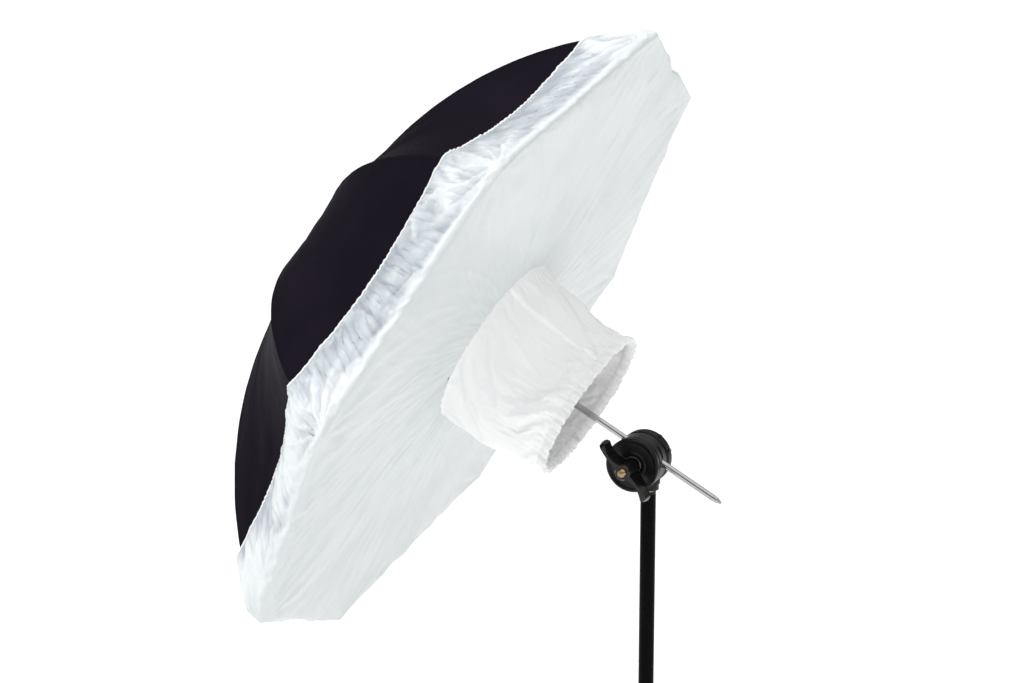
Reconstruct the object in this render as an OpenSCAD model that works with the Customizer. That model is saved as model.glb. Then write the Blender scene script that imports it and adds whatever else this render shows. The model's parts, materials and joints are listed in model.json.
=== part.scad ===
// Studio umbrella with a white front cover, on a swivel holder and the top tube of a light stand.
// Millimetres, +Z up. The origin is the middle of the tube's lower end.

/* [Umbrella] */
// Radius of the open cover, from the shaft to a corner at a rib tip
rim_r = 440; // [400:10:480]
// Height of the rib arcs, from the rib tips to the crown
dome_depth = 238; // [220:2:260]
// Angle of the first rib about the shaft, from straight up
rib_roll = -2; // [-22:1:22]
// Rise of the shaft above level, towards the crown
shaft_rise = 29.5; // [0:0.5:60]
// Diameter of the shaft
shaft_d = 8; // [7:0.5:10]
// Length of shaft from the rib tips to its tail end
tail_len = 350; // [330:5:400]
// Diameter of a rib
rib_d = 3.2; // [2.6:0.2:3.2]
// Radius at which a stretcher meets its rib
stretcher_r = 205; // [180:5:230]

/* [Cover] */
// Radius of the cover's elastic hem on the back of the canopy
hem_r = 391; // [370:1:400]
// Radius of the sleeve where it is sewn to the front cloth
sleeve_base_r = 110; // [100:2:120]
// Radius of the sleeve at its mouth
sleeve_mouth_r = 94; // [80:2:98]
// Length of the sleeve
sleeve_len = 132; // [110:2:140]
// Thickness that the cover and the canopy are given
cloth_t = 1.5; // [1:0.1:1.5]

/* [Holder] */
// Distance along the shaft from the holder's tilt axis to the rib tips
holder_to_rim = 238; // [230:2:260]
// Radius of the holder's round front plate
plate_r = 33; // [30:0.5:36]
// Distance of the shaft in front of the stand tube's axis
shaft_front = 42; // [38:0.5:46]
// Distance of the shaft above the tilt axis, across the shaft
shaft_offset = 16; // [12:0.5:18]
// Reach of each blade of the wing handle, from the tilt axis
wing_r = 44; // [36:1:48]
// Angle at which the wing handle stands
wing_angle = 128; // [0:1:359]

/* [Stand] */
// Diameter of the stand's top tube
tube_d = 19; // [18:0.5:20]
// Length of the stand's top tube
tube_len = 560; // [400:10:700]

/* [Hidden] */
$fn = 64;
ribs = 8;
pitch = 360 / ribs;
half = pitch / 2;
flat = cos(half);             // across the corners to across the flats
fit = 0.06;                   // running clearance of pins and shafts
tight = 0.02;                 // clearance of pieces that are pressed together
apart = 0.6;                  // gap between neighbouring cloth panels

// The ribs' arc, as a circle about a point on the shaft
tip_r = rim_r - 6;
arc_r = (tip_r * tip_r + dome_depth * dome_depth) / (2 * dome_depth);
arc_z = dome_depth - arc_r;
function arc_angle(r, offset = 0) = asin(r / (arc_r + offset));
function arc_point(angle, offset = 0) =
    [(arc_r + offset) * sin(angle), arc_z + (arc_r + offset) * cos(angle)];
function arc_points(from, to, offset, steps) =
    [for (i = [0:steps]) arc_point(from + (to - from) * i / steps, offset)];
function narrowed(points) = [for (p = points) [p.x * flat, p.y]];

// Pivots of the frame, in a rib's own plane
pin_d = 2;
eye_r = 3.2;
eye_w = 3;
slot_w = eye_w + apart;
pivot_r = 12;
pivot_angle = arc_angle(pivot_r);
tip_angle = arc_angle(tip_r);
crown_z = arc_point(pivot_angle).y;
joint_angle = arc_angle(stretcher_r);
joint_z = arc_point(joint_angle).y;
runner_z = 2 * joint_z - crown_z;
stretcher_len = norm([stretcher_r - pivot_r, joint_z - runner_z]);
stretcher_angle = atan2(runner_z - joint_z, pivot_r - stretcher_r);
loose_eye_r = 2.3;            // the stretcher's eye on the runner, wide enough for the open pivot

// Canopy and cover
canopy_gap = 4.2;             // from the ribs' centre line to the canopy's inner face
canopy_t = cloth_t - 0.3;
canopy_hole_r = 18;
canopy_edge = tip_angle - 1.6;
skirt_gap = canopy_gap + canopy_t + 1;
corner_r = rim_r - cloth_t;
front_z = -6;
front_hole_r = sleeve_base_r + 2;
sleeve_top = front_z - cloth_t - 0.7;
band_t = 4;

// Runner and catch
hub_r = 8;
runner_low = 26;
key_w = 3.4;
key_r = 5.6;
catch_w = 2.4;
catch_low = runner_z - runner_low - 16;
catch_high = catch_low + 14;
shaft_r = shaft_d / 2;
shaft_wall = 0.8;
shaft_top = crown_z + 13;
washer_z = crown_z + canopy_gap + canopy_t + 0.5;
washer_t = 2.4;
tip_len = 12;
crown_r = 16;

// Holder, with distances from the tilt axis and from the tube's axis
tilt_z = tube_len + 50;
bolt_r = 4;
base_y = -8;                  // back of the base disc
base_t = 15.7;
drum_y = -24;                 // back of the drum
drum_t = 33.8;
plate_y = -58;                // back of the front plate
plate_t = 6;
wing_y = -65;                 // back of the wing handle
wing_t = 35;
pad_back = -shaft_front - 1.3; // how near the clamp pad comes to the shaft's far side
spigot_r = 8;
lock_z = -26;
collar_r = 13;
collar_low = -44.5;
foot_len = 30;
foot_r = tube_d / 2 + 1.25;
tube_wall = 1.2;

// ---- Frames ----

// The shaft stands along +Z with the crown up, and the rib tips lie at z = 0.
module in_umbrella() {
    at_drum() translate([shaft_offset, -shaft_front, holder_to_rim]) children();
}

// Rib k's own plane: x away from the shaft, z towards the crown.
module spoke(k) {
    rotate([0, 0, rib_roll + pitch * (k - 1)]) children();
}

// The tilting half of the holder, with z along the shaft and y along the tilt axis.
module at_drum() {
    translate([0, 0, tilt_z]) rotate([0, shaft_rise - 90, 0]) children();
}

// The fixed half of the holder, with its origin on the tilt axis.
module at_tilt() {
    translate([0, 0, tilt_z]) children();
}

// Turns z to the front, towards -Y, from the distance y.
module to_front(y) {
    translate([0, y, 0]) rotate([90, 0, 0]) children();
}

module ring(outer, inner, height) {
    difference() {
        cylinder(r = outer, h = height);
        translate([0, 0, -1]) cylinder(r = inner, h = height + 2);
    }
}

// ---- Stand ----

module stand_tube() {
    color("#141414") translate([0, 0, 2 + tight])
        ring(tube_d / 2, tube_d / 2 - tube_wall, tube_len - 2 - tight);
}

module tube_foot() {
    color("#202022") difference() {
        cylinder(r = foot_r, h = foot_len);
        translate([0, 0, 2]) cylinder(r = tube_d / 2 + tight, h = foot_len);
        translate([0, 0, -1]) cylinder(r = tube_d / 2 - 3, h = foot_len);
    }
}

module tube_plug() {
    color("#1a1a1a") translate([0, 0, tube_len]) difference() {
        union() {
            translate([0, 0, tight]) cylinder(r = tube_d / 2, h = 2.5 - tight);
            translate([0, 0, -26]) cylinder(r = tube_d / 2 - tube_wall - tight, h = 27);
        }
        translate([0, 0, -27]) cylinder(r = 5 + tight, h = 40);
    }
}

module spigot() {
    color("#b8924a") at_tilt() rotate_extrude() polygon([
        [0, -74], [5, -74], [5, -47.4], [spigot_r, -47.4], [spigot_r, lock_z - 5], [6.6, lock_z - 4],
        [6.6, lock_z + 4], [spigot_r, lock_z + 5], [spigot_r, -16], [spigot_r - 1.5, -14.5], [0, -14.5]]);
}

// ---- Holder ----

// Two small lugs on the rim of the base disc
module base_lugs() {
    for (angle = [18, 54]) rotate([0, -angle, 0]) translate([plate_r - 3, base_y - base_t + 3.5, -1.8])
        cube([4.5, 7, 3.6]);
}

module holder_base() {
    color("#1c1c1e") at_tilt() difference() {
        union() {
            to_front(base_y) rotate_extrude() polygon([
                [0, 0], [27, 0], [30, 1.5], [plate_r, 3], [plate_r, 5], [plate_r - 1, 6], [plate_r, 7],
                [plate_r, 9], [plate_r - 1, 10], [plate_r, 11], [plate_r, 13.5], [plate_r - 1.5, base_t],
                [26.5, base_t], [26.5, base_t - 2.2], [9.5, base_t - 2.2], [9.5, base_t], [0, base_t]]);
            base_lugs();
            translate([0, 0, collar_low]) cylinder(r = collar_r, h = -10 - collar_low);
            translate([0, 0, -37]) cylinder(r = collar_r + 1.5, h = 4);
            translate([0, 0, lock_z]) rotate([-90, 0, 0]) cylinder(r = 6, h = 15.5);
        }
        translate([0, 0, collar_low - 1]) cylinder(r = spigot_r + fit, h = -12.5 - collar_low);
        translate([0, 0, lock_z]) rotate([-90, 0, 0]) cylinder(r = 3 + fit, h = 20);
        to_front(1) cylinder(r = bolt_r + tight, h = 40);
        to_front(base_y + 14) cylinder(r = 8.4, h = 14);
    }
}

module friction_ring() {
    color("#3a2a22") at_tilt() to_front(base_y - base_t + 2.1) ring(26, 10, 2);
}

module tilt_bolt() {
    color("#9a9ca0") at_tilt() to_front(base_y + 5) {
        cylinder(r = 7.5, h = 4.9, $fn = 6);
        translate([0, 0, 4]) cylinder(r = bolt_r, h = 83);
    }
}

// A short closed slot in the drum's wall, beside the way out of the shaft
module drum_slot() {
    rotate([0, 35, 0]) translate([22, -shaft_front, 0]) {
        translate([0, -2.4, -6]) cube([20, 4.8, 12]);
        for (end = [-6, 6]) translate([0, 0, end]) rotate([0, 90, 0]) cylinder(r = 2.4, h = 20);
    }
}

module shaft_bore(radius) {
    translate([shaft_offset, -shaft_front, -plate_r * 2]) cylinder(r = radius, h = plate_r * 4);
}

module shaft_drum() {
    color("#4a4b4e") at_drum() difference() {
        to_front(drum_y) rotate_extrude() polygon([
            [bolt_r + fit, 0], [30.5, 0], [30.5, 2.4], [31, 3], [32.2, 4.2], [32.2, drum_t - 6],
            [31.2, drum_t - 5], [31.2, drum_t], [bolt_r + fit, drum_t]]);
        shaft_bore(shaft_r + fit);
        drum_slot();
        translate([shaft_offset - 3.6, plate_y - 1, -8.1]) cube([7.2, pad_back - plate_y + 1.1, 16.2]);
    }
}

// The block that the front plate presses against the shaft
module clamp_pad() {
    color("#2a2a2c") at_drum() difference() {
        translate([shaft_offset - 3.5, plate_y + 2.3, -8]) cube([7, pad_back - plate_y - 2.3, 16]);
        shaft_bore(shaft_r + fit);
    }
}

module front_plate() {
    color("#111112") at_drum() to_front(plate_y) rotate_extrude() polygon([
        [bolt_r + fit, 0], [plate_r, 0], [plate_r, plate_t - 1.6], [plate_r - 1.4, plate_t],
        [plate_r - 3, plate_t], [plate_r - 6, plate_t - 1.4], [17, plate_t - 1.8], [15.6, plate_t - 0.3],
        [13.6, plate_t - 0.3], [12.2, plate_t - 1.6], [bolt_r + fit, plate_t - 1.6]]);
}

module spring_washer() {
    color("#b9bcc0") at_drum() to_front(plate_y - plate_t + 1.5) rotate_extrude()
        polygon([[bolt_r + 0.3, 0.9], [11, 0], [11, 0.7], [bolt_r + 0.3, 1.6]]);
}

// Outline of one blade of the wing handle, bent like half an S
module blade_outline() {
    steps = 12;
    function middle(t) = [4 + (wing_r - 8) * t, 3.5 * sin(180 * t) + 1.5 * t];
    function width(t) = 9 - 4.5 * sin(180 * t) - 1.4 * t;
    polygon(concat(
        [for (i = [0:steps]) middle(i / steps) + [0, width(i / steps) / 2]],
        [for (i = [steps:-1:0]) middle(i / steps) - [0, width(i / steps) / 2]]));
    translate(middle(1)) circle(r = 3.8);
}

module wing_handle() {
    color("#17171a") at_tilt() rotate([0, -wing_angle, 0]) to_front(wing_y) difference() {
        union() {
            rotate_extrude() polygon([[0, 0], [10.5, 0], [9.5, wing_t - 2], [8.5, wing_t], [0, wing_t]]);
            intersection() {
                for (side = [0, 180]) rotate([0, 0, side]) translate([0, 0, 3])
                    linear_extrude(wing_t - 4) blade_outline();
                rotate_extrude() polygon([
                    [0, 3], [12, 4], [wing_r - 6, 13], [wing_r - 1.5, 17], [wing_r, 22],
                    [wing_r - 2, wing_t - 4], [wing_r - 6, wing_t - 1], [0, wing_t]]);
            }
        }
        translate([0, 0, -1]) cylinder(r = 6.5, h = 17);
        cylinder(r = bolt_r + 0.3, h = 27);
        cylinder(r = 3 + tight, h = wing_t + 1);
    }
}

module wing_insert() {
    color("#b8924a") at_tilt() to_front(wing_y - 0.2) ring(6.5 - tight, bolt_r + fit, 15);
}

module dome_screw() {
    color("#c9a24f") at_tilt() to_front(wing_y - wing_t + 7) rotate_extrude()
        union() {
            polygon([[0, 0], [3, 0], [3, 7.1], [5.6, 7.1], [5.6, 8.2], [0, 8.2]]);
            translate([0, 8.2]) intersection() {
                scale(0.5) translate([0, -3]) circle(r = 11.6);
                square([5.6, 5]);
            }
        }
}

module lock_knob() {
    color("#17171a") at_tilt() translate([0, 17, lock_z]) rotate([-90, 0, 0]) difference() {
        union() {
            cylinder(r = 10, h = 11);
            translate([0, 0, 11]) cylinder(r1 = 10, r2 = 8.5, h = 1.5);
        }
        translate([0, 0, -1]) cylinder(r = 3 + tight, h = 8);
        for (flute = [0:5]) rotate([0, 0, 60 * flute]) translate([13, 0, -1]) cylinder(r = 4.6, h = 15);
    }
}

module lock_screw() {
    color("#9a9ca0") at_tilt() translate([0, 7, lock_z]) rotate([-90, 0, 0]) cylinder(r = 3, h = 16.8);
}

// ---- Umbrella frame ----

module shaft() {
    color("#d4d6da") in_umbrella() difference() {
        translate([0, 0, tip_len - tail_len])
            ring(shaft_r, shaft_r - shaft_wall, shaft_top + tail_len - tip_len);
        rotate([0, 0, rib_roll + half]) translate([0, -1.5, catch_low - 2]) cube([shaft_d, 3, 18]);
    }
}

// The tail's rounded end, with a plug inside the shaft
module shaft_tip() {
    color("#d4d6da") in_umbrella() translate([0, 0, -tail_len]) rotate_extrude() union() {
        polygon([[0, 2], [1.9, 2], [3.4, 7], [shaft_r, tip_len - tight], [shaft_r - shaft_wall - tight, tip_len],
                 [shaft_r - shaft_wall - tight, tip_len + 14], [0, tip_len + 14]]);
        intersection() {
            translate([0, 2]) circle(r = 2);
            square([2, 3]);
        }
    }
}

// The cuts in the crown or the runner that hold the ends of the ribs or stretchers
module pivot_slots(height) {
    for (k = [1:ribs]) spoke(k) {
        translate([hub_r, -slot_w / 2, -height]) cube([hub_r * 2, slot_w, height * 2]);
        translate([pivot_r, 0, 0]) rotate([90, 0, 0])
            cylinder(d = pin_d + tight * 2, h = slot_w + 4, center = true);
    }
}

module pivot_pins() {
    for (k = [1:ribs]) spoke(k) translate([pivot_r, 0, 0]) rotate([90, 0, 0])
        cylinder(d = pin_d, h = slot_w + 3.6, center = true);
}

module crown() {
    color("#1c1c1e") in_umbrella() translate([0, 0, crown_z]) difference() {
        translate([0, 0, -6]) ring(crown_r, shaft_r + tight, 10);
        pivot_slots(10);
    }
}

module crown_pins() {
    color("#9a9ca0") in_umbrella() translate([0, 0, crown_z]) pivot_pins();
}

module ferrule() {
    color("#1c1c1e") in_umbrella() translate([0, 0, washer_z + washer_t + 0.1]) difference() {
        rotate_extrude() polygon([[0, 0], [8, 0], [8, 2], [6.5, 3.5], [6, 6.5], [4.5, 8], [0, 8]]);
        translate([0, 0, -1]) cylinder(r = shaft_r + tight, h = 6.2);
    }
}

module top_washer() {
    color("#141416") in_umbrella() translate([0, 0, washer_z]) rotate_extrude()
        polygon([[shaft_r + tight, 0], [26, 0], [26, 0.8], [12, washer_t], [shaft_r + tight, washer_t]]);
}

module shaft_catch() {
    color("#b9bcc0") in_umbrella() rotate([0, 0, rib_roll + half]) rotate([90, 0, 0])
        translate([0, 0, -catch_w / 2]) linear_extrude(catch_w) polygon([
            [2.2, catch_low], [shaft_r - 0.1, catch_low], [key_r - 0.5, catch_high - 2],
            [key_r - 0.5, catch_high], [2.2, catch_high]]);
}

module runner() {
    color("#1c1c1e") in_umbrella() translate([0, 0, runner_z]) difference() {
        union() {
            translate([0, 0, -runner_low]) cylinder(r = hub_r - 0.3, h = runner_low + 8);
            translate([0, 0, -5]) cylinder(r = crown_r - 0.5, h = 10);
            translate([0, 0, -runner_low]) cylinder(r = hub_r + 3, h = 3);
        }
        translate([0, 0, -runner_low - 1]) cylinder(r = shaft_r + fit, h = runner_low + 10);
        rotate([0, 0, rib_roll + half]) translate([0, -key_w / 2, -runner_low - 1])
            cube([key_r, key_w, runner_low + 10]);
        pivot_slots(5.5);
    }
}

module runner_pins() {
    color("#9a9ca0") in_umbrella() translate([0, 0, runner_z]) pivot_pins();
}

// A bar along the rib arc, between two angles from the crown
module arc_bar(from, to, depth, width) {
    translate([0, width / 2, 0]) rotate([90, 0, 0]) linear_extrude(width) intersection() {
        translate([0, arc_z]) difference() {
            circle(r = arc_r + depth / 2, $fn = 360);
            circle(r = arc_r - depth / 2, $fn = 360);
        }
        polygon([[0, arc_z],
                 arc_point(from, rim_r), arc_point((from + to) / 2, rim_r), arc_point(to, rim_r)]);
    }
}

module cross_cylinder(x, z, radius, width) {
    translate([x, 0, z]) rotate([90, 0, 0]) cylinder(r = radius, h = width, center = true);
}

module rib(k) {
    in_umbrella() spoke(k) {
        color("#2b2c30") difference() {
            union() {
                arc_bar(pivot_angle + 0.26, tip_angle - 0.2, rib_d, eye_w - 0.2);
                cross_cylinder(pivot_r, crown_z, eye_r, eye_w);
                cross_cylinder(stretcher_r, joint_z, eye_r + 0.4, eye_w);
            }
            cross_cylinder(pivot_r, crown_z, pin_d / 2 + fit, eye_w * 3);
            cross_cylinder(stretcher_r, joint_z, pin_d / 2 + fit, eye_w * 3);
        }
        color("#9a9ca0") difference() {
            union() {
                arc_bar(tip_angle - 1.4, tip_angle, rib_d + 1.8, eye_w + 1.6);
                cross_cylinder(tip_r, 0, 3, eye_w + 2.4);
            }
            arc_bar(tip_angle - 3, tip_angle - 0.1, rib_d + 0.1, eye_w);
        }
    }
}

// A stretcher lies along +x from its fork on the rib to its loose eye on the runner.
module stretcher_body() {
    cheek_in = eye_w / 2 + 0.4;
    cheek_t = 1.2;
    difference() {
        union() {
            for (side = [-1, 1]) translate([0, side * (cheek_in + cheek_t / 2), 0]) {
                rotate([90, 0, 0]) cylinder(r = 3, h = cheek_t, center = true);
                translate([0, -cheek_t / 2, -2.2]) cube([14, cheek_t, 4.4]);
            }
            translate([9, -cheek_in - cheek_t, -2.2]) cube([5, (cheek_in + cheek_t) * 2, 4.4]);
            translate([12, 0, 0]) rotate([0, 90, 0]) cylinder(r = 1.5, h = stretcher_len - 12 - 2.8);
            cross_cylinder(stretcher_len, 0, eye_r + 0.3, eye_w);
        }
        cross_cylinder(0, 0, pin_d / 2 + tight, 12);
        cross_cylinder(stretcher_len, 0, loose_eye_r, 12);
    }
}

module stretcher_rivet() {
    cross_cylinder(0, 0, pin_d / 2, 6.4);
    for (side = [-1, 1]) translate([0, side * 3.65, 0]) rotate([90, 0, 0])
        cylinder(r = 1.8, h = 0.9, center = true);
}

module stretcher(k) {
    in_umbrella() spoke(k) translate([stretcher_r, 0, joint_z]) rotate([0, -stretcher_angle, 0]) {
        color("#2b2c30") stretcher_body();
        color("#9a9ca0") stretcher_rivet();
    }
}

// ---- Cloth ----

// One rib's share of a shell with a straight line between each two ribs, from its outline in the rib's plane
module panel(outline) {
    for (side = [0, 1]) mirror([0, side, 0]) intersection() {
        rotate([0, 0, half]) translate([0, -apart / 2, 0]) rotate([90, 0, 0])
            linear_extrude(rim_r) polygon(narrowed(outline));
        translate([0, 0, -rim_r]) cube(rim_r * 2);
    }
}

module canopy(k) {
    start = arc_angle(canopy_hole_r);
    color("#0e0d12") in_umbrella() spoke(k) panel(concat(
        arc_points(start, canopy_edge, canopy_gap + canopy_t, 18),
        arc_points(canopy_edge, start, canopy_gap, 18)));
}

module cover(k) {
    outer = skirt_gap + cloth_t;
    hem = arc_angle(hem_r);
    color("#eef0f2") in_umbrella() spoke(k) panel(concat(
        arc_points(hem, arc_angle(rim_r, outer), outer, 5),
        [[rim_r, -3.5], [rim_r - 3, front_z - cloth_t], [front_hole_r, front_z - cloth_t],
         [front_hole_r, front_z], [corner_r - 2.4, front_z], [corner_r, -3]],
        arc_points(arc_angle(corner_r, skirt_gap), hem, skirt_gap, 5)));
}

module cover_sleeve() {
    low = sleeve_top - sleeve_len;
    color("#f4f5f6") in_umbrella() rotate_extrude() polygon([
        [sleeve_base_r, sleeve_top], [sleeve_mouth_r, low],
        [sleeve_mouth_r - cloth_t, low], [sleeve_base_r - cloth_t, sleeve_top]]);
}

module sleeve_band() {
    color("#f4f5f6") in_umbrella() translate([0, 0, sleeve_top - sleeve_len - band_t - 0.1])
        rotate_extrude() translate([sleeve_mouth_r - 1, 0]) circle(r = band_t);
}

stand_tube();
tube_foot();
tube_plug();
spigot();
holder_base();
friction_ring();
tilt_bolt();
shaft_drum();
clamp_pad();
front_plate();
spring_washer();
wing_handle();
wing_insert();
dome_screw();
lock_knob();
lock_screw();
shaft();
shaft_tip();
crown();
crown_pins();
ferrule();
top_washer();
shaft_catch();
runner();
runner_pins();
cover_sleeve();
sleeve_band();
for (k = [1:ribs]) {
    rib(k);
    stretcher(k);
    canopy(k);
    cover(k);
}
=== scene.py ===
import json
import math

import bpy
import numpy as np
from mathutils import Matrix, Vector, noise


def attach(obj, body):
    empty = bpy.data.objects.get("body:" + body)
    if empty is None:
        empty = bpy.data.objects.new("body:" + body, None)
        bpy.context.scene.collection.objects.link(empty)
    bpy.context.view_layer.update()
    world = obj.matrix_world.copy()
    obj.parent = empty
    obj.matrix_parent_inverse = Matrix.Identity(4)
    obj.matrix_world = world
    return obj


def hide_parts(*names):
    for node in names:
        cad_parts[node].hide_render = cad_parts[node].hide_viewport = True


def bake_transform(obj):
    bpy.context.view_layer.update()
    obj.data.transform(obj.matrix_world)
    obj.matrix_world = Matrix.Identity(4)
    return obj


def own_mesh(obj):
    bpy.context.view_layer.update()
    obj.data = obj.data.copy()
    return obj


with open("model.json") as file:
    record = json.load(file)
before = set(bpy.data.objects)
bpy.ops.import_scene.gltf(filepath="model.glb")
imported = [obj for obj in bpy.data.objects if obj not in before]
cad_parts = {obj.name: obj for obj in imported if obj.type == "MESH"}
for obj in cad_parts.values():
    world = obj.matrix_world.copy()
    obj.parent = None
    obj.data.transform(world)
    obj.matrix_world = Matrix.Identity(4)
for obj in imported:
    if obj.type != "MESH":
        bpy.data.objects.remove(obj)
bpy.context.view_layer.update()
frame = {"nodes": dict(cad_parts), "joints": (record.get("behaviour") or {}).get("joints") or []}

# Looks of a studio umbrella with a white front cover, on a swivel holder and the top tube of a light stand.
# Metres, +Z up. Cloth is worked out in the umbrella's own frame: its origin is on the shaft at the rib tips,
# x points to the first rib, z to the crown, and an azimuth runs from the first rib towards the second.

MM = 0.001
RIBS = 8
PITCH = math.tau / RIBS
HALF = PITCH / 2


# ---------------------------------------------------------------- the umbrella's frame

def joint(name):
    return next(j for j in frame["joints"] if j["name"] == name)


def fold_name(k):
    return "umbrella_fold" if k == 1 else f"rib_{k}_fold"


HINGES = np.array([joint(fold_name(k))["pos_m"] for k in range(1, RIBS + 1)])
CROWN = HINGES.mean(axis=0)
RIM = 440 * MM                  # the cover's corners, from the shaft
RIB_TIP = RIM - 6 * MM
DOME = 238 * MM                 # the ribs' arc, from the tips to the crown
ARC = (RIB_TIP ** 2 + DOME ** 2) / (2 * DOME)
ARC_HEIGHT = DOME - ARC
HINGE_RADIUS = 12 * MM          # the ribs' pins, from the shaft
CROWN_HEIGHT = ARC_HEIGHT + math.sqrt(ARC ** 2 - HINGE_RADIUS ** 2)
AXIS_Z = -np.array(joint("shaft_slide")["axis"])
AXIS_X = (HINGES[0] - CROWN) / np.linalg.norm(HINGES[0] - CROWN)
AXIS_Y = np.cross(AXIS_Z, AXIS_X)
AXES = np.array([AXIS_X, AXIS_Y, AXIS_Z])
ORIGIN = CROWN - CROWN_HEIGHT * AXIS_Z


def to_row(points):
    """Points in the umbrella's frame, given in the row frame."""
    return np.asarray(points, float) @ AXES + ORIGIN


def measured(node):
    """(radius, height) of every vertex of a CAD node, in the umbrella's frame."""
    co = np.array([v.co for v in frame["nodes"][node].data.vertices], float)
    local = (co - ORIGIN) @ AXES.T
    return np.hypot(local[:, 0], local[:, 1]), local[:, 2]


# Sizes that the CAD part fixes
SLEEVE_BASE = float(measured("cover_sleeve")[0].max())
SLEEVE_LOW = float(measured("cover_sleeve")[1].min())
SLEEVE_TOP = float(measured("cover_sleeve")[1].max())
SLEEVE_MOUTH = float(measured("sleeve_band")[0].mean())

# Sizes chosen here
HEM = 391 * MM                  # the cover's elastic hem behind the canopy, from the shaft
FRONT = -7 * MM                 # the front cloth's height, just past the rib tips
CANOPY_HOLE = 18 * MM           # the canopy's hole, under the top washer


# ---------------------------------------------------------------- smooth noise over many points

SEED_STEP = 17.31               # how far apart in the noise two seeds read it


def smooth(x, low, high):
    """0 below low, 1 above high, and smooth between them."""
    t = np.clip((x - low) / (high - low), 0, 1)
    return t * t * (3 - 2 * t)


def wander(points, seed):
    """Smooth noise from -1 to 1 at every point of an array whose last side is 3."""
    flat = (np.asarray(points, float) + seed * SEED_STEP).reshape(-1, 3)
    values = [noise.noise(Vector(p)) for p in flat]
    return np.array(values).reshape(points.shape[:-1])


def creases(points, seed):
    """Noise with sharp ridges, from 0 to 1, as thin cloth crumples."""
    return 1 - 2 * np.abs(wander(points, seed))


def polar(azimuth, along, turns, scale):
    """Where noise is read so that it runs round the umbrella turns times, and along in steps of scale."""
    azimuth, along = np.broadcast_arrays(azimuth, along)
    return np.stack([turns * np.cos(azimuth), turns * np.sin(azimuth), along / scale], axis=-1)


# ---------------------------------------------------------------- shape of the cloth

COLUMNS = 144                   # across one rib's share of the cloth
CROWDING = 1.25


def gore_columns():
    """The azimuth of each column from its rib, closer together beside the rib."""
    side = np.linspace(0, 1, COLUMNS // 2 + 1) ** CROWDING * HALF
    return np.concatenate([-side[::-1], side[1:]])


GORE = gore_columns()
AZIMUTH = np.concatenate([PITCH * k + GORE[:-1] for k in range(RIBS)])
FROM_RIB = np.tile(GORE[:-1], RIBS)
Q = np.abs(FROM_RIB) / HALF     # 0 on a rib, 1 half-way to the next
BOW = 1 - (1 - Q) ** 2          # the same, rounded half-way
# A straight edge between two ribs, as a share of the ribs' radius
CHORD = math.cos(HALF) / np.cos(HALF - np.abs(FROM_RIB))


def arc_point(angle, offset):
    """(radius, height) on the ribs' arc."""
    return (ARC + offset) * np.sin(angle), ARC_HEIGHT + (ARC + offset) * np.cos(angle)


def placed(radius, height):
    """Points in the umbrella's frame for a grid of rows down and columns round."""
    azimuth = np.broadcast_to(AZIMUTH, radius.shape)
    return np.stack([radius * np.cos(azimuth), radius * np.sin(azimuth), height], axis=-1)


def normals_of(points, outward=1.0):
    """The unit normal at every point of a grid that is closed round its columns."""
    across = np.roll(points, -1, axis=1) - np.roll(points, 1, axis=1)
    down = np.gradient(points, axis=0)
    n = np.cross(across, down) * outward
    return n / np.maximum(np.linalg.norm(n, axis=-1, keepdims=True), 1e-12)


def from_corner(sideways, depth):
    """How far a point is from its rib's tip along the cloth, and in what direction."""
    return np.hypot(sideways, depth), np.arctan2(np.abs(sideways), depth)


def fading(distance, reach):
    """1 at no distance, and less and less beyond."""
    return np.exp(-distance / reach)


PHASE_STEP = 12.9898
PHASE_SPREAD = 3.1


def rib_phase():
    """A different number for each side of each rib, so that no two gathers are alike."""
    side = np.floor(AZIMUTH / HALF + 0.5)
    return np.sin(side * PHASE_STEP) * PHASE_SPREAD


# The canopy

CANOPY_ROWS = 64
CANOPY_EDGE = math.asin(RIB_TIP / ARC) - math.radians(1.6)
EDGE_BOW = math.radians(0.9)    # how much shorter the canopy is half-way between ribs
CANOPY_THICK = 1.1 * MM
CANOPY_ABOVE = 3.5 * MM         # its outer face, from the ribs' arc
SAG = 0.086                     # the hollow half-way between ribs, as a share of the radius
SEAM_HALF = 2.2 * MM
CANOPY_FAN = 1.1 * MM           # heights of its wrinkles
CANOPY_WANDER = 1.5 * MM
CANOPY_PUCKER = 0.5 * MM
SEAM_HEIGHT = 0.5 * MM


def canopy_grid():
    """The canopy's outer face: crests on the ribs and hollows between them."""
    start = math.asin(CANOPY_HOLE / (ARC + 3 * MM))
    t = np.linspace(0, 1, CANOPY_ROWS)[:, None]
    edge = CANOPY_EDGE - EDGE_BOW * BOW[None, :]
    angle = start + (edge - start) * t
    radius, height = arc_point(angle, CANOPY_ABOVE)
    hollow = SAG * BOW[None, :] * smooth(t, 0.0, 0.50)
    radius = radius * (CHORD[None, :] - hollow)
    points = placed(radius, height)
    across = FROM_RIB[None, :] * radius
    lift = canopy_lift(across, t, height)
    return points + normals_of(points, -1.0) * lift[..., None], across, t * ARC * CANOPY_EDGE


def canopy_lift(across, t, height):
    """How far the wrinkles lift each point of the canopy; t runs from the crown to the edge."""
    away, turn = from_corner(across, (1 - t) * ARC * CANOPY_EDGE)
    fan = np.cos(turn * 15 + rib_phase()[None, :]) * fading(away, 0.11) * smooth(away, 0.004, 0.05)
    long = wander(polar(AZIMUTH[None, :], height, turns=9, scale=0.28), seed=3)
    pucker = creases(polar(AZIMUTH[None, :], t * 0.5, turns=16, scale=0.05), seed=5)
    pucker = fading(np.abs(across), 0.035) * pucker
    seam = np.exp(-(across / SEAM_HALF) ** 2)
    lift = CANOPY_FAN * fan + CANOPY_WANDER * long * BOW[None, :]
    lift = lift + CANOPY_PUCKER * pucker * smooth(t, 0.1, 0.4)
    return lift + SEAM_HEIGHT * seam


# The cover: front cloth, rounded rim, skirt and hem, as one profile

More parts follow.
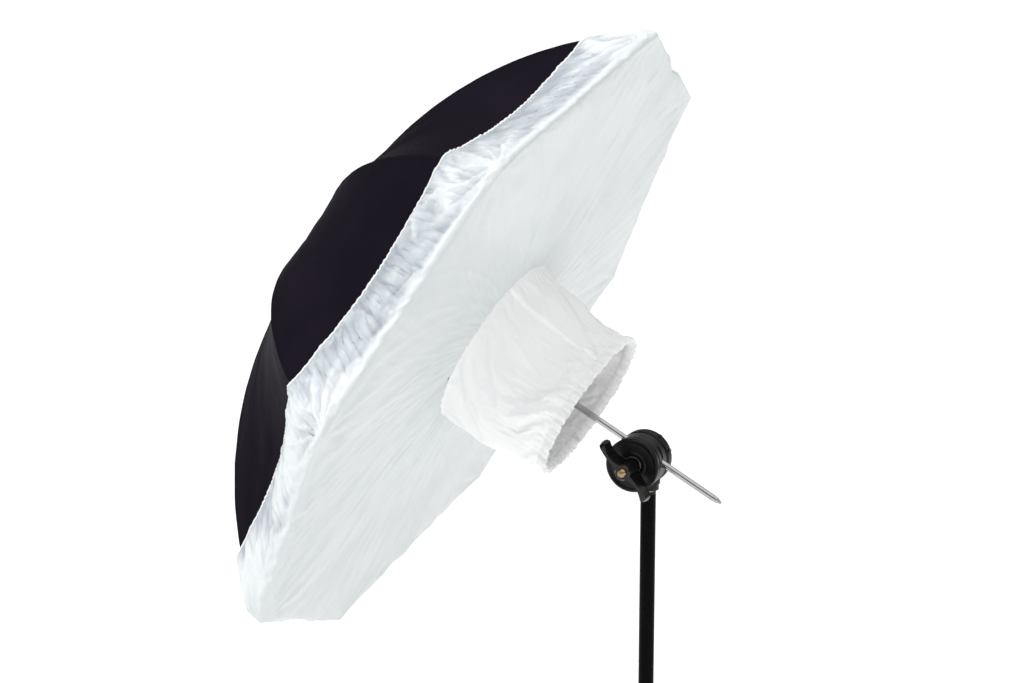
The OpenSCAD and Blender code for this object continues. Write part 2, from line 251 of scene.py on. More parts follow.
FRONT_ROWS = 44
OUTER_ROWS = 18
ROUND_ROWS = 9
SKIRT_ROWS = 26
HEM_ROWS = 7
RIM_ROW = FRONT_ROWS + OUTER_ROWS + ROUND_ROWS // 2 - 1
JOIN = 0.62                     # how far out the front cloth changes from one piece to the next
BULGE = 0.030                   # how far the rim swells half-way between ribs, as a share of its radius
ROUNDING = 5                    # the rim's rounding at a rib, in millimetres
ROUNDING_MORE = 27              # and how much more half-way between ribs
HEM_ABOVE = 6.5 * MM            # the hem, from the ribs' arc
HEM_SAG = 0.88                  # the hem's hollow, as a share of the canopy's
HEM_PIPE = 1.3 * MM             # radius of the elastic in the hem
SKIRT_SLACK = (0.012, 0.050)    # how much longer than its place it is at the rim, and what more at the hem
SKIRT_IN = 2.2 * MM             # how far a point of it may settle towards the canopy, away from it and aside
SKIRT_OUT = 7 * MM
SKIRT_ASIDE = 5 * MM
SLEEVE_SHIFT = 9 * MM           # how far the cover's middle is pulled up, off the shaft's line
SLEEVE_PROUD = 4 * MM           # how far the front cloth is pushed out beside the sleeve


def rim_radius():
    """The rim's corners are at the ribs, and its sides swell a little between them."""
    return RIM * (CHORD + BULGE * BOW)


def hem_line():
    """(radius, height) of the hem, which the elastic pulls nearly straight between the ribs."""
    angle = math.asin(HEM / (ARC + 6 * MM)) + math.radians(0.5) * BOW
    radius, height = arc_point(angle, HEM_ABOVE)
    return radius * (CHORD - HEM_SAG * SAG * BOW), height


def cover_profile():
    """(radius, height) of every row of the cover, from the sleeve's seam out over the rim to the hem."""
    rim = rim_radius()
    hem_r, hem_z = hem_line()
    uneven = 1 + 0.5 * wander(polar(AZIMUTH, 0 * AZIMUTH, turns=7, scale=1), seed=81)
    rounding = (ROUNDING + ROUNDING_MORE * uneven * Q ** 0.8) * MM
    lean = np.stack([hem_r - rim, hem_z - FRONT])
    lean = lean / np.linalg.norm(lean, axis=0)
    front_end = rim - rounding
    skirt_r = rim + lean[0] * rounding
    skirt_z = FRONT + lean[1] * rounding
    rows = []
    join = SLEEVE_BASE + JOIN * (RIB_TIP * CHORD - SLEEVE_BASE)
    for t in np.linspace(0, 1, FRONT_ROWS):
        rows.append((SLEEVE_BASE + (join - SLEEVE_BASE) * t, FRONT + 0 * rim))
    for t in np.linspace(0, 1, OUTER_ROWS)[1:]:
        rows.append((join + (front_end - join) * t, FRONT + 0 * rim))
    for t in np.linspace(0, 1, ROUND_ROWS + 1)[1:]:
        a, b, c = (1 - t) ** 2, 2 * t * (1 - t), t * t
        rows.append((a * front_end + b * rim + c * skirt_r, (a + b) * FRONT + c * skirt_z))
    for t in np.linspace(0, 1, SKIRT_ROWS + 1)[1:] ** 0.9:
        rows.append((skirt_r + (hem_r - skirt_r) * t, skirt_z + (hem_z - skirt_z) * t))
    radius = np.array([r for r, z in rows])
    height = np.array([z for r, z in rows])
    return radius, height


def along_cloth(points):
    """Each point's distance past the rim's edge, negative on the front, and its distance to the hem."""
    steps = np.linalg.norm(np.diff(points, axis=0), axis=-1)
    length = np.concatenate([np.zeros((1, steps.shape[1])), np.cumsum(steps, axis=0)])
    return length - length[RIM_ROW], length[-1] - length


# Heights of the cover's wrinkles
FAN_FOLDS = 3.6 * MM            # sharp folds on the skirt that fan out from each rib's tip
LARGE_CRUMPLE = 3.0 * MM
CRISP_CRUMPLE = 1.8 * MM
FINE_CRUMPLE = 0.6 * MM
GATHERS = 0.7 * MM              # pleats of the hem's elastic
TUCKS = 2.4 * MM
SKIRT_ROOM = 6.5 * MM           # lifts the skirt over the rib tips
FRONT_FAN = 2.1 * MM            # soft pulls on the front towards each rib's tip
FRONT_RADIAL = 0.6 * MM
FRONT_SWIRL = 1.5 * MM
FRONT_THIN = 0.35 * MM
EDGE_WAVES = 1.8 * MM           # uneven tension beside the rim's edge
RIM_WAVES = 2.2 * MM
SEAM_PUCKER = 0.8 * MM          # small pulls round the sleeve's seam


def skirt_lift(points, past, to_hem, warp):
    """How far the wrinkles lift the skirt: fans at the corners, crumples, and the hem's gathers."""
    azimuth = np.broadcast_to(AZIMUTH, past.shape)
    q, u = Q[None, :], FROM_RIB[None, :] * RIM
    away, turn = from_corner(u, np.abs(past) + 1e-6)
    v = np.clip(past / (past + to_hem + 1e-6), 0, 1)
    billow = np.sin(np.pi * v)
    cloth = np.stack([np.broadcast_to(u, past.shape) + azimuth * 3, past, 0.02 * warp], axis=-1)
    ridges = 1.2 - 1.7 * np.abs(np.sin(turn * 6.5 + rib_phase()[None, :] + 1.1 * warp))
    fan = ridges * fading(away, 0.075) * smooth(away, 0.003, 0.02)
    large = creases(cloth / np.array([0.050, 0.075, 0.05]) + warp[..., None] * 0.4, seed=21)
    crisp = creases(cloth / np.array([0.022, 0.048, 0.03]) + warp[..., None] * 0.6, seed=23)
    fine = creases(points / 0.012, seed=25)
    pleat = np.sin(u / 0.0016 + 4.5 * wander(points / 0.03, seed=31))
    pleat = pleat * (0.7 + 0.6 * wander(points / 0.02, seed=32))
    gather = pleat * fading(to_hem, 0.009)
    tuck = creases(cloth / np.array([0.016, 0.060, 0.03]), seed=33) * fading(to_hem, 0.030)
    between = 0.35 + 0.65 * q
    crumple = LARGE_CRUMPLE * (large - 0.45) + CRISP_CRUMPLE * (crisp - 0.45)
    lift = FAN_FOLDS * fan + between * crumple * billow ** 0.7 + FINE_CRUMPLE * fine * billow
    hem = GATHERS * gather * between + TUCKS * (tuck - 0.2) * smooth(to_hem, 0, 0.008)
    room = SKIRT_ROOM * (1 - q) ** 1.5 * smooth(past, -0.006, 0.006) * (1 - v) ** 0.6
    on_skirt = smooth(past, 0.0, 0.012)
    return on_skirt * lift + on_skirt * hem + on_skirt * (1.5 + 2.5 * q) * MM * billow + room


def front_lift(radius, past, warp):
    """How far the wrinkles lift the front: soft pulls to the corners, and small ones round the sleeve."""
    azimuth = np.broadcast_to(AZIMUTH, radius.shape)
    away, turn = from_corner(FROM_RIB[None, :] * RIM, np.abs(past) + 1e-6)
    waves = np.sin(turn * 9 + rib_phase()[None, :] * 1.7 + warp)
    fan = waves * fading(away, 0.10) * smooth(away, 0.006, 0.05)
    radial = wander(polar(azimuth, radius, turns=34, scale=0.30), seed=41)
    swirl = creases(polar(azimuth + radius * 1.1, radius, turns=12, scale=0.16), seed=43)
    thin = creases(polar(azimuth - radius * 0.7, radius, turns=17, scale=0.09), seed=45)
    base = creases(polar(azimuth, radius, turns=30, scale=0.09), seed=51)
    base = base * fading(radius - SLEEVE_BASE, 0.035)
    pulls = FRONT_FAN * fan + FRONT_RADIAL * radial + FRONT_SWIRL * (swirl - 0.5) + FRONT_THIN * thin
    on_front = smooth(-past, 0.0, 0.012)
    return on_front * pulls + on_front * SEAM_PUCKER * base


def rim_lift(past):
    """Waves along the rim's edge, none at the ribs."""
    azimuth = np.broadcast_to(AZIMUTH, past.shape)
    q = Q[None, :]
    edge = creases(polar(azimuth, past, turns=13, scale=0.12), seed=47)
    edge = edge * np.exp(-((past + 0.028) / 0.035) ** 2)
    rim = creases(polar(azimuth + past * 4, past, turns=20, scale=0.07), seed=49) - 0.5
    rim = rim * np.exp(-(past / 0.030) ** 2)
    return EDGE_WAVES * edge * q + RIM_WAVES * rim * q


def hem_rows(points, normals):
    """Rows that roll the hem round its piping."""
    last, before = points[-1], points[-2]
    along = last - before
    along = along / np.linalg.norm(along, axis=-1, keepdims=True)
    centre = last + along * HEM_PIPE
    rows = []
    for i in range(1, HEM_ROWS + 1):
        a = math.pi * 2 * i / (HEM_ROWS + 1)
        rows.append(centre + HEM_PIPE * (math.sin(a) * normals[-1] - math.cos(a) * along))
    return np.concatenate([points, np.array(rows)])


def settled_skirt(points):
    """How far the skirt moves as it settles, from the rim's row on."""
    down = np.linspace(0, 1, points.shape[0] - RIM_ROW)
    held = np.where((down < 0.06) | (down > 0.97), 1.0, 0.0)
    slack = SKIRT_SLACK[0] + SKIRT_SLACK[1] * down ** 2
    normals = normals_of(points)[RIM_ROW:]
    return capped(settled(points[RIM_ROW:], held, slack, 0.2), normals, SKIRT_IN, SKIRT_OUT, SKIRT_ASIDE)


def cover_grid():
    """The cover's points, and the marks that its cloth's finish reads."""
    radius, height = cover_profile()
    points = placed(radius, height)
    middle = 1 - smooth(radius, SLEEVE_BASE, 2.3 * SLEEVE_BASE)
    points = points + middle[..., None] * np.array([SLEEVE_SHIFT, 0, -SLEEVE_PROUD])
    past, to_hem = along_cloth(points)
    warp = wander(points / 0.07, seed=11)
    lift = skirt_lift(points, past, to_hem, warp) + front_lift(radius, past, warp) + rim_lift(past)
    points = points + normals_of(points) * lift[..., None]
    move = settled_skirt(points)
    points[RIM_ROW:] += move
    n = normals_of(points)
    raised = np.zeros(radius.shape)
    raised[RIM_ROW:] = np.sum(move * n[RIM_ROW:], axis=-1) + lift[RIM_ROW:]
    extra = np.zeros((HEM_ROWS, points.shape[1]))
    marks = {
        "past": np.concatenate([past, past[-1:] + extra]),
        "raised": np.concatenate([raised, raised[-1:] + extra]),
    }
    return hem_rows(points, n), marks


# ---------------------------------------------------------------- meshes

def mesh_object(name, points, faces, finishes, face_finish=None, normals=None, marks=None):
    """A mesh in the row frame from points in the umbrella's frame."""
    mesh = bpy.data.meshes.new(name)
    mesh.from_pydata(to_row(points).tolist(), [], faces)
    for finish in finishes:
        mesh.materials.append(finish)
    mesh.polygons.foreach_set("use_smooth", [True] * len(mesh.polygons))
    if face_finish is not None:
        mesh.polygons.foreach_set("material_index", face_finish)
    for mark, values in (marks or {}).items():
        layer = mesh.attributes.new(mark, "FLOAT", "POINT")
        layer.data.foreach_set("value", np.asarray(values, np.float32).ravel())
    mesh.update()
    if normals is not None:
        mesh.normals_split_custom_set_from_vertices((np.asarray(normals) @ AXES).tolist())
    obj = bpy.data.objects.new(name, mesh)
    bpy.context.scene.collection.objects.link(obj)
    return obj


def grid_faces(rows, columns, closed=False):
    """Quads of a grid of rows down and columns across; closed joins the last column to the first."""
    faces = []
    for i in range(rows - 1):
        for j in range(columns if closed else columns - 1):
            n = (j + 1) % columns
            faces.append((i * columns + j, i * columns + n, (i + 1) * columns + n, (i + 1) * columns + j))
    return faces


def share_of(array, k):
    """Rib k's columns of a grid, with the columns that it shares with its neighbours at both ends."""
    first = (k - 1) * COLUMNS
    return np.take(array, range(first, first + COLUMNS + 1), axis=1, mode="wrap")


def smooth_patch(name, points, normals, finishes, marks, face_finish=None):
    """A share of the cover, whose normals match its neighbours'."""
    rows, columns = points.shape[:2]
    flat_points = points.reshape(-1, 3)
    flat_normals = normals.reshape(-1, 3)
    faces = grid_faces(rows, columns)
    return mesh_object(name, flat_points, faces, finishes, face_finish, flat_normals, marks)


def on_rib(obj, k, stands_for):
    """A share of the cloth rides on rib k, and the CAD node that it stands for is hidden."""
    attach(obj, f"rib_{k}")
    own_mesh(obj)
    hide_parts(stands_for)


# ---------------------------------------------------------------- settling cloth that is cut full

SIM_FRAMES = 26


def every_other(grid):
    """The even rows and columns of a grid, and always its last row."""
    rows = sorted(set(range(0, grid.shape[0], 2)) | {grid.shape[0] - 1})
    return rows, grid[rows][:, ::2]


def spread_out(values, rows, shape):
    """The opposite of every_other: a smooth filling of the rows and columns between."""
    wide = np.empty((len(rows), shape[1], 3))
    wide[:, ::2] = values
    wide[:, 1::2] = (values + np.roll(values, -1, axis=1)) / 2
    at = np.arange(shape[0])
    after = np.clip(np.searchsorted(rows, at), 1, len(rows) - 1)
    low, high = np.array(rows)[after - 1], np.array(rows)[after]
    part = ((at - low) / (high - low))[:, None, None]
    return wide[after - 1] * (1 - part) + wide[after] * part


def add_cloth(obj, most, gravity):
    """Thin nylon, up to most longer than its place where it isn't tight."""
    cloth = obj.modifiers.new("cloth", "CLOTH")
    cloth.settings.quality = 5
    cloth.settings.mass = 0.06
    cloth.settings.tension_stiffness = 12
    cloth.settings.compression_stiffness = 12
    cloth.settings.shear_stiffness = 4
    cloth.settings.bending_stiffness = 0.12
    cloth.settings.air_damping = 2.5
    cloth.settings.vertex_group_mass = "pin"
    cloth.settings.vertex_group_shrink = "tight"
    cloth.settings.shrink_min = -most
    cloth.settings.shrink_max = 0
    cloth.settings.effector_weights.gravity = gravity
    cloth.collision_settings.use_collision = False
    cloth.point_cache.frame_end = SIM_FRAMES


def settled(points, held, slack, gravity):
    """How far each point of a closed grid moves when each row is longer than its place by its slack."""
    rows, few = every_other(points)
    count, columns = few.shape[:2]
    obj = mesh_object("settling", few.reshape(-1, 3), grid_faces(count, columns, closed=True), [])
    pin = obj.vertex_groups.new(name="pin")
    tight = obj.vertex_groups.new(name="tight")
    most = max(slack)
    for i, row in enumerate(rows):
        line = list(range(i * columns, (i + 1) * columns))
        pin.add(line, held[row], "REPLACE")
        tight.add(line, 1 - slack[row] / most, "REPLACE")
    add_cloth(obj, most, gravity)
    scene = bpy.context.scene
    for frame_number in range(1, SIM_FRAMES + 1):
        scene.frame_set(frame_number)
    shape = obj.evaluated_get(bpy.context.evaluated_depsgraph_get()).to_mesh()
    row_points = np.array([v.co for v in shape.vertices], float)
    local = ((row_points - ORIGIN) @ AXES.T).reshape(few.shape)
    bpy.data.objects.remove(obj)
    scene.frame_set(1)
    return spread_out(local - few, rows, points.shape)


def capped(move, normals, inward, outward, sideways):
    """A settled cloth's moves, where its neighbours stop it."""
    out = np.sum(move * normals, axis=-1, keepdims=True)
    side = move - out * normals
    length = np.linalg.norm(side, axis=-1, keepdims=True)
    side = side * np.minimum(1, sideways / np.maximum(length, 1e-9))
    return side + np.clip(out, -inward, outward) * normals


# ---------------------------------------------------------------- finishes

def nodes_of(name, colour, roughness, metallic=0.0):
    """A new material, its node tree and its Principled shader."""
    material = bpy.data.materials.new(name)
    material.use_nodes = True
    tree = material.node_tree
    shader = tree.nodes["Principled BSDF"]
    shader.inputs["Base Color"].default_value = (*colour, 1)
    shader.inputs["Roughness"].default_value = roughness
    shader.inputs["Metallic"].default_value = metallic
    material.diffuse_color = (*colour, 1)
    return material, tree, shader


def add(tree, kind, **settings):
    """A node of that kind. Settings whose names start with in_ are inputs; the others are properties."""
    node = tree.nodes.new(kind)
    for key, value in settings.items():
        if key.startswith("in_"):
            node.inputs[key[3:].replace("_", " ")].default_value = value
        else:
            setattr(node, key, value)
    return node


def coordinates(tree, stretch=(1, 1, 1)):
    place = add(tree, "ShaderNodeTexCoord")
    mapping = add(tree, "ShaderNodeMapping")
    mapping.inputs["Scale"].default_value = stretch
    tree.links.new(place.outputs["Object"], mapping.inputs["Vector"])
    return mapping.outputs["Vector"]


def noise_of(tree, where, scale, detail=4.0, rough=0.55):
    node = add(tree, "ShaderNodeTexNoise", in_Scale=scale, in_Detail=detail, in_Roughness=rough)
    tree.links.new(where, node.inputs["Vector"])
    return node.outputs["Fac"]


def ranged(tree, value, low, high, to_low, to_high):
    node = add(tree, "ShaderNodeMapRange")
    node.inputs["From Min"].default_value = low
    node.inputs["From Max"].default_value = high
    node.inputs["To Min"].default_value = to_low
    node.inputs["To Max"].default_value = to_high
    tree.links.new(value, node.inputs["Value"])
    return node.outputs["Result"]


def math_of(tree, operation, a, b=None, value=0.0):
    node = add(tree, "ShaderNodeMath", operation=operation)
    tree.links.new(a, node.inputs[0])
    if b is None:
        node.inputs[1].default_value = value
    else:
        tree.links.new(b, node.inputs[1])
    return node.outputs[0]


def tinted(tree, factor, first, second):
    node = add(tree, "ShaderNodeMix", data_type="RGBA")
    colour_inputs = [s for s in node.inputs if s.type == "RGBA"]
    colour_inputs[0].default_value = (*first, 1)
    colour_inputs[1].default_value = (*second, 1)
    tree.links.new(factor, node.inputs[0])
    return next(s for s in node.outputs if s.type == "RGBA")


def bumped(tree, shader, height, strength, distance, after=None):
    node = add(tree, "ShaderNodeBump", in_Strength=strength, in_Distance=distance)
    tree.links.new(height, node.inputs["Height"])
    if after is not None:
        tree.links.new(after, node.inputs["Normal"])
    tree.links.new(node.outputs["Normal"], shader.inputs["Normal"])
    return node.outputs["Normal"]


def mark_of(tree, name):
    return add(tree, "ShaderNodeAttribute", attribute_name=name).outputs["Fac"]


def hard_finish(name, colour, worn, roughness, bump=0.00002, metallic=0.0, stretch=(1, 1, 1), gloss=0.25):
    """Metal or plastic: a fine grain, and a gloss and colour that vary a little with handling."""
    material, tree, shader = nodes_of(name, colour, roughness, metallic)
    where = coordinates(tree, stretch)
    patches = noise_of(tree, where, 28.0, 5.0)
    scuffs = noise_of(tree, where, 210.0, 6.0, 0.7)
    handled = tinted(tree, ranged(tree, scuffs, 0.45, 0.8, 0, 1), colour, worn)
    tree.links.new(handled, shader.inputs["Base Color"])
    rough = ranged(tree, patches, 0.3, 0.7, roughness * 0.8, roughness * 1.25)
    tree.links.new(rough, shader.inputs["Roughness"])
    fine = noise_of(tree, where, 900.0, 2.0)
    bumped(tree, shader, fine, 0.6, bump)
    shader.inputs["Specular IOR Level"].default_value = gloss
    return material


def plain_name(material):
    """A material's name, without the number that Blender adds to a second one of that name."""
    return material.name.split(".")[0]


def overlaid(tree, factor, colour_out, over):
    """A colour laid over another where the factor is 1."""
    mix = add(tree, "ShaderNodeMix", data_type="RGBA")
    colour_inputs = [s for s in mix.inputs if s.type == "RGBA"]
    tree.links.new(colour_out, colour_inputs[0])
    colour_inputs[1].default_value = (*over, 1)
    tree.links.new(factor, mix.inputs[0])
    return next(s for s in mix.outputs if s.type == "RGBA")


def paint_see_through_shade(tree, colour_out, see_through_shade):
    """Painted shade: thin white cloth on the skirt is painted greyer where it lies close on the black cloth
    and in the hollows of its folds, standing in for the black showing through.
    """
    close = ranged(tree, mark_of(tree, "raised"), -0.5 * MM, 6 * MM, 1, 0)
    on_skirt = ranged(tree, mark_of(tree, "past"), 4 * MM, 16 * MM, 0, 1)
    return overlaid(tree, math_of(tree, "MULTIPLY", close, on_skirt), colour_out, see_through_shade)


def bands(tree, where, direction, scale):
    wave = add(tree, "ShaderNodeTexWave", bands_direction=direction, in_Scale=scale)
    tree.links.new(where, wave.inputs["Vector"])
    return wave.outputs["Fac"]


STITCH_ASIDE = 3 * MM           # the rows of stitches, from the seam on each side
STITCH_LENGTH = 3.2 * MM


def stitches(tree):
    """A dashed row on each side of every seam."""
    across = math_of(tree, "ABSOLUTE", mark_of(tree, "across"))
    beside = math_of(tree, "ABSOLUTE", math_of(tree, "SUBTRACT", across, value=STITCH_ASIDE))
    row = ranged(tree, beside, 0.0002, 0.0006, 1, 0)
    turns = math_of(tree, "MULTIPLY", mark_of(tree, "along"), value=math.tau / STITCH_LENGTH)
    dashes = math_of(tree, "SINE", turns)
    return math_of(tree, "MULTIPLY", row, ranged(tree, dashes, -0.3, 0.1, 0, 1))


def cloth_finish(name, colour, shade, roughness, sheen, weave, crease, gloss=0.5, stitched=False, see_through_shade=None,
                 glow=0.0, taped=None):
    """Woven nylon: crossing threads, faint patches, sharp creases and rows of stitches beside seams, with
    painted shade where it lies close on black cloth and an optional painted glow.
    """
    material, tree, shader = nodes_of(name, colour, roughness)
    where = coordinates(tree)
    patches = noise_of(tree, where, 9.0, 5.0)
    colour_out = tinted(tree, ranged(tree, patches, 0.35, 0.7, 0, 1), colour, shade)
    # Painted shade: a darker grey where the skirt lies close on the black canopy and in its fold hollows
    if see_through_shade is not None:
        colour_out = paint_see_through_shade(tree, colour_out, see_through_shade)
    if taped is not None:
        colour_out = overlaid(tree, mark_of(tree, "tape"), colour_out, taped)
    tree.links.new(colour_out, shader.inputs["Base Color"])
    rough = ranged(tree, patches, 0.3, 0.7, roughness * 0.88, roughness * 1.15)
    tree.links.new(rough, shader.inputs["Roughness"])
    threads = math_of(tree, "ADD", bands(tree, where, "X", weave), bands(tree, where, "Z", weave))
    woven = bumped(tree, shader, threads, 0.25, 0.00006)
    folds = noise_of(tree, coordinates(tree, (1, 1.3, 1)), 26.0, 7.0, 0.62)
    ridged = math_of(tree, "ABSOLUTE", math_of(tree, "SUBTRACT", folds, value=0.5))
    creased = bumped(tree, shader, ridged, 0.9, crease, woven)
    if stitched:
        bumped(tree, shader, stitches(tree), 1.0, 0.0004, creased)
    # The glow is painted light: emission that brightens the cloth as if lit through it, though it is no lamp
    shader.inputs["Emission Color"].default_value = (1.0, 0.99, 0.97, 1)
    shader.inputs["Emission Strength"].default_value = glow
    shader.inputs["Specular IOR Level"].default_value = gloss
    shader.inputs["Sheen Weight"].default_value = sheen
    shader.inputs["Sheen Roughness"].default_value = 0.35
    return material


BLACK = (0.003, 0.003, 0.003)
BLACK_WORN = (0.010, 0.010, 0.011)


def hard_finishes():
    return [
        hard_finish("black_tube", (0.002, 0.002, 0.002), (0.006, 0.006, 0.007), 0.34, gloss=0.04),
        hard_finish("black_casting", BLACK, BLACK_WORN, 0.34, bump=5e-5),
        hard_finish("grey_drum", (0.010, 0.010, 0.011), (0.026, 0.026, 0.028), 0.38, bump=4e-5),
        hard_finish("black_plastic", BLACK, BLACK_WORN, 0.32),
        hard_finish("black_handle", BLACK, BLACK_WORN, 0.22, gloss=0.4),
        hard_finish("black_steel", (0.020, 0.020, 0.022), (0.070, 0.070, 0.072), 0.32, metallic=0.6),
        hard_finish("fibre", (0.030, 0.030, 0.034), (0.060, 0.060, 0.064), 0.45, stretch=(3, 3, 3)),
        hard_finish("steel", (0.42, 0.42, 0.43), (0.30, 0.30, 0.31), 0.30, metallic=1.0),
        hard_finish("chrome", (0.46, 0.46, 0.47), (0.36, 0.36, 0.37), 0.10, metallic=1.0, bump=8e-6),
        hard_finish("brass", (0.40, 0.28, 0.15), (0.26, 0.17, 0.08), 0.20, metallic=1.0),
    ]


def cloth_finishes():
    return [
        cloth_finish("canopy_cloth", (0.0075, 0.006, 0.0105), (0.0105, 0.008, 0.013), roughness=0.50,
                     sheen=0.0, weave=260.0, crease=0.0012, gloss=0.004, stitched=True),
        cloth_finish("canopy_lining", (0.80, 0.80, 0.80), (0.74, 0.74, 0.75), roughness=0.55, sheen=0.1,
                     weave=260.0, crease=0.0008),
        # The cover's cloth gets painted shade, a darker blue-grey, where it lies close on the canopy
        cloth_finish("cover_cloth", (0.74, 0.775, 0.785), (0.69, 0.73, 0.745), roughness=0.36, sheen=0.10,
                     weave=300.0, crease=0.0016, see_through_shade=(0.34, 0.38, 0.43)),
        cloth_finish("cover_hem", (0.88, 0.88, 0.87), (0.80, 0.80, 0.79), roughness=0.55, sheen=0.2,
                     weave=420.0, crease=0.0004),
        # The sleeve's glow is painted light, making it brighter as if lit from within
        cloth_finish("sleeve_cloth", (0.86, 0.87, 0.87), (0.82, 0.83, 0.83), roughness=0.36, sheen=0.1,
                     weave=240.0, crease=0.0012, glow=0.12, taped=(0.97, 0.97, 0.96)),
    ]


FINISH = {plain_name(finish): finish for finish in hard_finishes() + cloth_finishes()}


def paint_cad():
    """Every CAD node that is shown gets the finish of its slot."""
    for node in frame["nodes"].values():
        for held in node.material_slots:
            if plain_name(held.material) in FINISH:
                held.material = FINISH[plain_name(held.material)]


# ---------------------------------------------------------------- building the cloth


def canopy_faces():
    """Faces of one share, and the finish of each: the outside, the lining, and both closed sides."""
    side = COLUMNS + 1
    last = 2 * CANOPY_ROWS - 1
    quads = (CANOPY_ROWS - 1) * COLUMNS
    faces = grid_faces(2 * CANOPY_ROWS, side)
    faces += [(last * side + j, last * side + j + 1, j + 1, j) for j in range(COLUMNS)]
    tints = [0] * quads + [0] * COLUMNS + [1] * quads + [0] * COLUMNS
    for i in range(CANOPY_ROWS - 1):
        a = i * side
        b = (last - i) * side
        faces.append((a, a + side, b - side, b))
        faces.append((a + side - 1, b + side - 1, b - 1, a + 2 * side - 1))
        tints += [0, 0]
    return [face[::-1] for face in faces], tints


def there_and_back(outside, inside):
    """The rows of a share's outside from the crown, and its inside's back to the crown."""
    return np.concatenate([outside, inside[::-1]])


def build_canopy():
    outer, across, along = canopy_grid()
    n = normals_of(outer, -1.0)
    inner = outer - n * CANOPY_THICK
    along = np.broadcast_to(along, across.shape)
    faces, tints = canopy_faces()
    cloths = [FINISH["canopy_cloth"], FINISH["canopy_lining"]]
    for k in range(1, RIBS + 1):
        points = there_and_back(share_of(outer, k), share_of(inner, k))
        up = share_of(n, k)
        normals = there_and_back(up, -up)
        marks = {
            "across": there_and_back(share_of(across, k), share_of(across, k)),
            "along": there_and_back(share_of(along, k), share_of(along, k)),
        }
        obj = mesh_object(f"canopy_cloth_{k}", points.reshape(-1, 3), faces, cloths, tints,
                          normals.reshape(-1, 3), marks)
        on_rib(obj, k, f"canopy_{k}")


def build_cover():
    points, marks = cover_grid()
    n = normals_of(points)
    front = slice(None, FRONT_ROWS)
    rest = slice(FRONT_ROWS - 1, None)
    for k in range(1, RIBS + 1):
        own_points = share_of(points, k)
        own_normals = share_of(n, k)
        own = {mark: share_of(values, k) for mark, values in marks.items()}
        front_marks = {mark: values[front] for mark, values in own.items()}
        rest_marks = {mark: values[rest] for mark, values in own.items()}
        build_front(k, own_points[front], own_normals[front], front_marks)
        build_rim(k, own_points[rest], own_normals[rest], rest_marks)


def build_front(k, points, normals, marks):
    """The inner front, from the sleeve's seam out to the outer piece, baked into place in the row frame."""
    obj = smooth_patch(f"cover_front_{k}", points, normals, [FINISH["cover_cloth"]], marks)
    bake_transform(obj)


def build_rim(k, points, normals, marks):
    """The outer front, the rim, the skirt and the hem, in one piece."""
    hem_from = points.shape[0] - 1 - HEM_ROWS
    tints = [0] * (hem_from * COLUMNS) + [1] * (HEM_ROWS * COLUMNS)
    cloths = [FINISH["cover_cloth"], FINISH["cover_hem"]]
    obj = smooth_patch(f"cover_rim_{k}", points, normals, cloths, marks, tints)
    on_rib(obj, k, f"cover_{k}")


SLEEVE_COLUMNS = 420
SLEEVE_ROWS = 72
SLEEVE_LONGER = 4 * MM          # than the CAD sleeve
SLEEVE_SLACK = (0.03, 0.09)     # how much longer it is than its place, at the seam and what more at the mouth
SLEEVE_PLAY = 6 * MM            # how far a point of it may settle
WELT = 1.5 * MM                 # the seam at its base
TAPE_AT = math.tau - math.radians(33)
TAPE_HALF = 2.8 * MM
TAPE_THICK = 1.1 * MM
CASING = 13 * MM                # the width of the elastic's casing
CASING_HALF = 2.2 * MM          # and half its thickness
CASING_COLUMNS = 25


def sleeve_grid():
    """The sleeve from its seam to the mouth, with long folds and the gathers of its elastic."""
    a = np.linspace(0, math.tau, SLEEVE_COLUMNS, endpoint=False)[None, :]
    t = np.linspace(0, 1, SLEEVE_ROWS)[:, None]
    a, t = np.broadcast_arrays(a, t)
    deep = SLEEVE_TOP - SLEEVE_LOW + SLEEVE_LONGER
    body = SLEEVE_BASE - 1 * MM + (SLEEVE_MOUTH - SLEEVE_BASE) * t
    long = wander(polar(a + 0.9 * t, t * 0.13, turns=2.6, scale=0.11), seed=61)
    sharp = creases(polar(a + 0.7 * t, t * 0.13, turns=3.4, scale=0.09), seed=63)
    gather = mouth_ruffle(a)
    tucks = creases(polar(a, t * 0.13, turns=12, scale=0.12), seed=69)
    near = fading((1 - t) * deep, 0.014)
    wide = fading((1 - t) * deep, 0.035)
    swell = np.sin(math.pi * np.clip(t, 0, 1)) ** 0.8
    welt = np.exp(-(t * deep / 0.0022) ** 2)
    tape = np.exp(-((a - TAPE_AT) * SLEEVE_BASE / TAPE_HALF) ** 6)
    radius = body + swell * (3.4 * MM * long + 4.4 * MM * (sharp - 0.5)) + WELT * welt
    radius = radius + 1.5 * MM * gather * near + 2.4 * MM * (tucks - 0.5) * wide
    height = SLEEVE_TOP + 1 * MM - SLEEVE_PROUD - (deep + 1 * MM - SLEEVE_PROUD) * t
    height = height + 1.2 * MM * wander(polar(a, t * 0.1, turns=5, scale=0.1), seed=71) * swell
    return a, radius, height, tape


def mouth_ruffle(a):
    """The elastic's gathers round the mouth, uneven in depth and spacing."""
    uneven = 5 * wander(polar(a, a * 0, turns=9, scale=1), seed=67)
    depth = 0.55 + 0.75 * wander(polar(a, a * 0, turns=16, scale=1), seed=68)
    return np.sin(a * 58 + uneven) * depth


def ring_points(a, radius, height):
    """Points round the sleeve's own middle, which is off the shaft's line."""
    return np.stack([radius * np.cos(a) + SLEEVE_SHIFT, radius * np.sin(a), height], axis=-1)


